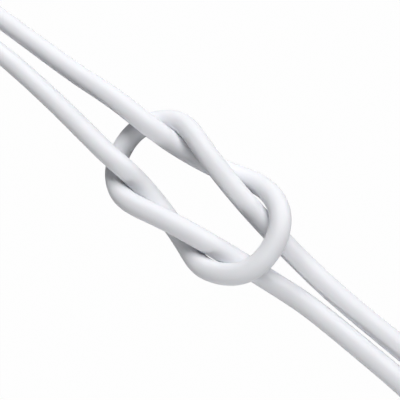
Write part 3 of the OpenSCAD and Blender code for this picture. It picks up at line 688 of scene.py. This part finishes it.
def strap_way(cord, gap, thick):
    """The middle of the webbing, evenly spaced: once round, then up over its own start."""
    bundle = 2 * cord + gap
    wide, high = bundle + STRAP_BOW + 2 * FIT, bundle + 2 * FIT
    first = outline_points(wide + thick, high + thick, (cord + thick) / 2)
    second = outline_points(wide + 3 * thick, high + 3 * thick, (cord + 3 * thick) / 2)
    join = wide / 4 - CLIMB_PLACE
    levels = (first[0].z, second[0].z, second[0].z)
    climb = [Vector((0, join + across, level + rise * thick))
             for (across, rise), level in zip(CLIMB_STEPS, levels)]
    second = second[:OUTLINE_STEPS + 1]
    way = [Vector((0, join - CLIMB_START, first[0].z)), *first,
           Vector((0, join + CLIMB_END, first[0].z)), *climb, *second,
           Vector((0, second[-1].y, -high / 4))]
    spans = [(b - a).length for a, b in zip(way, way[1:])]
    count = round(sum(spans) / STRAP_STEP)
    even = []
    for index in range(count + 1):
        left = sum(spans) * index / count
        leg = 0
        while leg < len(spans) - 1 and left > spans[leg]:
            left -= spans[leg]
            leg += 1
        even.append(way[leg].lerp(way[leg + 1], min(1, left / spans[leg])) + STRAP_CENTRE)
    return even, sum(spans)


class CABLE_OT_strap(bpy.types.Operator):
    """Wraps the webbing strap round the coil and stitches its end"""
    bl_idname = "cable.strap"
    bl_label = "Wrap the strap"

    def execute(self, context):
        scene = context.scene
        sizes = scene.cable_strap
        thick, width = sizes.thickness / MM, sizes.width / MM
        cord = scene.cable_cord
        way, length = strap_way(cord.diameter / MM, cord.turn_gap / MM, thick)
        shape = bmesh.new()
        bmesh.ops.create_grid(shape, x_segments=STRAP_ACROSS, y_segments=len(way) - 1, size=0.5)
        weave = shape.loops.layers.uv.new("weave")
        for face in shape.faces:
            for corner in face.loops:
                at = corner.vert.co
                corner[weave].uv = ((at.x + 0.5) * width, (at.y + 0.5) * length)
        for vert in shape.verts:
            station = way[round((vert.co.y + 0.5) * (len(way) - 1))]
            vert.co = Vector((vert.co.x * width, station.y, station.z))
        bmesh.ops.recalc_face_normals(shape, faces=shape.faces)
        bmesh.ops.solidify(shape, geom=shape.faces[:], thickness=STRAP_LAYER * thick)
        bmesh.ops.recalc_face_normals(shape, faces=shape.faces)
        self.centre(shape, way, thick)
        rim = [e for e in shape.edges if e.calc_face_angle(0) > 1.2]
        round_edges(shape, rim, STRAP_RIM, 2)
        smooth_sides(shape, 0.9)
        bmesh.ops.scale(shape, vec=(MM, MM, MM), verts=shape.verts)
        object_from("strap", shape, FINISHES["strap_grey"], "strap_grey", "coil_strap")
        self.stitch(way, width, thick)
        return {"FINISHED"}

    def centre(self, shape, way, thick):
        """Moves the webbing outwards or inwards so that its layers lie on the route's middle."""
        top = max(v.co.z for v in shape.verts)
        wanted = max(p.z for p in way) + STRAP_LAYER / 2 * thick
        if top - wanted < 0.1 * thick:
            return
        share = (wanted - STRAP_CENTRE.z) / (top - STRAP_CENTRE.z)
        for vert in shape.verts:
            vert.co = STRAP_CENTRE + Vector((vert.co.x, *((vert.co - STRAP_CENTRE).yz * share)))

    def stitch(self, way, width, thick):
        """Two rows of short stitches across the end that lies on top."""
        shape = bmesh.new()
        for back in STITCH_ROWS:
            at, near = way[-1 - back], way[-back]
            along = (near - at).normalized()
            out = Vector((1, 0, 0)).cross(along)
            out = out if out.dot(at - STRAP_CENTRE) > 0 else -out
            for index in range(STITCHES):
                across = index / (STITCHES - 1) - 0.5
                side = Vector((across * (width - STITCH_MARGIN), 0, 0))
                made = bmesh.ops.create_icosphere(shape, subdivisions=2, radius=1)
                turned = Matrix((Vector((STITCH_LONG, 0, 0)), along * STITCH_WIDE,
                                 out * STITCH_HIGH)).transposed().to_4x4()
                place = Matrix.Translation(at + side + out * 0.46 * thick) @ turned
                bmesh.ops.transform(shape, matrix=place, verts=made["verts"])
        bmesh.ops.scale(shape, vec=(MM, MM, MM), verts=shape.verts)
        smooth_sides(shape, 2)
        object_from("strap_stitches", shape, FINISHES["thread"], "strap_grey")


# Each lamp's share of the power, width in metres, azimuth and height in degrees
LAMPS = {"key": (0.305, 0.45, 106, 45), "left": (0.184, 0.3, 150, 30),
         "right": (0.121, 0.3, 70, 50), "right_low": (0.086, 0.18, 70, 8),
         "fill": (0.127, 0.3, 335, 20), "low": (0.177, 0.1, 283, 5)}
LAMP_DISTANCE = 0.73

AIM = Vector((-0.28, 85.47, 0)) * MM
SENSOR_WIDTH = 36
NEAREST_SEEN = 0.01

# The floor looks white, and lights the cable as a dark one would, so that its sides keep shade
FLOOR_HALF = 3.0
FLOOR_COLOUR = (0.12, 0.12, 0.122, 1)
FLOOR_ROUGHNESS = 0.9
# The share of plain white in the seen floor; the rest holds the shadow
FLOOR_WHITE = 0.988
WHITE = (1, 1, 1, 1)


class CABLE_OT_stage(bpy.types.Operator):
    """Sets up the floor, the lights and the camera"""
    bl_idname = "cable.stage"
    bl_label = "Set the stage"

    def execute(self, context):
        sizes = context.scene.cable_stage
        scene = context.scene
        scene.view_settings.view_transform = "Standard"
        self.set_camera(scene, sizes)
        self.set_lights(scene, sizes)
        self.set_floor(scene)
        return {"FINISHED"}

    def set_camera(self, scene, sizes):
        """Looks down on the knot, leaning towards the USB-C plug."""
        back = Vector((sin(sizes.tilt), 0, cos(sizes.tilt)))
        up = Vector((-sin(sizes.turn), cos(sizes.turn), 0))
        up = (up - up.dot(back) * back).normalized()
        lens = bpy.data.cameras.new("camera")
        lens.lens = sizes.lens
        lens.sensor_width = SENSOR_WIDTH
        lens.clip_start = NEAREST_SEEN
        camera = bpy.data.objects.new("camera", lens)
        turned = Matrix((up.cross(back), up, back)).transposed().to_4x4()
        camera.matrix_world = Matrix.Translation(AIM + sizes.distance * back) @ turned
        scene.collection.objects.link(camera)
        scene.camera = camera

    def set_lights(self, scene, sizes):
        """The lamps, and an even sky that looks white to the camera and in mirrors."""
        for name, (share, width, azimuth, height) in LAMPS.items():
            self.add_lamp(scene, name, share * sizes.power, width, radians(azimuth),
                          radians(height))
        world = bpy.data.worlds.new("sky")
        scene.world = world
        world.use_nodes = True
        tree = world.node_tree
        plain = tree.nodes["Background"]
        plain.inputs["Color"].default_value = WHITE
        plain.inputs["Strength"].default_value = sizes.sky
        white = grow(tree, "ShaderNodeBackground", {"Color": WHITE, "Strength": 1.0})
        seen = self.seen_rays(tree)
        mix = grow(tree, "ShaderNodeMixShader")
        tree.links.new(seen, mix.inputs["Fac"])
        tree.links.new(plain.outputs["Background"], mix.inputs[1])
        tree.links.new(white.outputs["Background"], mix.inputs[2])
        tree.links.new(mix.outputs["Shader"], tree.nodes["World Output"].inputs["Surface"])

    def add_lamp(self, scene, name, power, width, azimuth, height):
        """A round soft light that faces the knot."""
        lamp = bpy.data.lights.new(name, "AREA")
        lamp.shape = "DISK"
        lamp.size = width
        lamp.energy = power
        light = bpy.data.objects.new(name, lamp)
        out = Vector((cos(azimuth) * cos(height), sin(azimuth) * cos(height), sin(height)))
        turned = out.to_track_quat("Z", "Y").to_matrix().to_4x4()
        light.matrix_world = Matrix.Translation(KNOT + LAMP_DISTANCE * out) @ turned
        light.visible_camera = False
        scene.collection.objects.link(light)

    def seen_rays(self, tree):
        """1 for rays from the camera, in a mirror or through glass."""
        path = grow(tree, "ShaderNodeLightPath")
        total = path.outputs["Is Camera Ray"]
        for other in ("Is Glossy Ray", "Is Transmission Ray"):
            add = grow(tree, "ShaderNodeMath", operation="MAXIMUM")
            tree.links.new(total, add.inputs[0])
            tree.links.new(path.outputs[other], add.inputs[1])
            total = add.outputs["Value"]
        return total

    def set_floor(self, scene):
        """A plain white floor that keeps a faint shadow of the cable."""
        floor_bmesh = bmesh.new()
        bmesh.ops.create_grid(floor_bmesh, x_segments=1, y_segments=1, size=FLOOR_HALF)
        mesh = bpy.data.meshes.new("floor")
        floor_bmesh.to_mesh(mesh)
        floor_bmesh.free()
        floor = bpy.data.objects.new("floor", mesh)
        scene.collection.objects.link(floor)
        made, tree, shader = material("white_floor")
        shader.inputs["Base Color"].default_value = FLOOR_COLOUR
        shader.inputs["Roughness"].default_value = FLOOR_ROUGHNESS
        shader.inputs["Specular IOR Level"].default_value = 0.0
        glow = grow(tree, "ShaderNodeEmission", {"Color": WHITE, "Strength": 1.0})
        share = grow(tree, "ShaderNodeMath", {1: FLOOR_WHITE}, operation="MULTIPLY")
        tree.links.new(self.seen_rays(tree), share.inputs[0])
        mix = grow(tree, "ShaderNodeMixShader")
        tree.links.new(share.outputs["Value"], mix.inputs["Fac"])
        tree.links.new(shader.outputs["BSDF"], mix.inputs[1])
        tree.links.new(glow.outputs["Emission"], mix.inputs[2])
        tree.links.new(mix.outputs["Shader"], tree.nodes["Material Output"].inputs["Surface"])
        mesh.materials.append(made)


class CABLE_PT_panel(bpy.types.Panel):
    """Lists the sizes and the steps in the sidebar"""
    bl_idname = "CABLE_PT_panel"
    bl_label = "Charging Cable"
    bl_space_type = "VIEW_3D"
    bl_region_type = "UI"
    bl_category = "Cable"

    def draw(self, context):
        """The sizes of each group, then a button for each step."""
        for group in GROUPS:
            for name in GROUPS[group].__annotations__:
                self.layout.prop(getattr(context.scene, group), name)
        for step in STEPS:
            self.layout.operator(step.bl_idname)


GROUPS = {"cable_cord": CordSizes, "cable_strap": StrapSizes, "cable_usb_a": USBASizes,
          "cable_usb_c": USBCSizes, "cable_stage": StageSizes}
STEPS = (CABLE_OT_stage, CABLE_OT_finishes, CABLE_OT_usb_a, CABLE_OT_usb_c,
         CABLE_OT_strap, CABLE_OT_cord)


def register():
    """Adds the classes and the groups of sizes."""
    for one in (*GROUPS.values(), *STEPS, CABLE_PT_panel):
        bpy.utils.register_class(one)
    for name, group in GROUPS.items():
        setattr(bpy.types.Scene, name, bpy.props.PointerProperty(type=group))


def unregister():
    """Takes them away again."""
    for name in GROUPS:
        delattr(bpy.types.Scene, name)
    for one in (CABLE_PT_panel, *reversed(STEPS), *reversed(GROUPS.values())):
        bpy.utils.unregister_class(one)


def main():
    """Runs every step."""
    register()
    for step in STEPS:
        group, name = step.bl_idname.split(".")
        getattr(getattr(bpy.ops, group), name)()


if __name__ == "__main__":
    main()
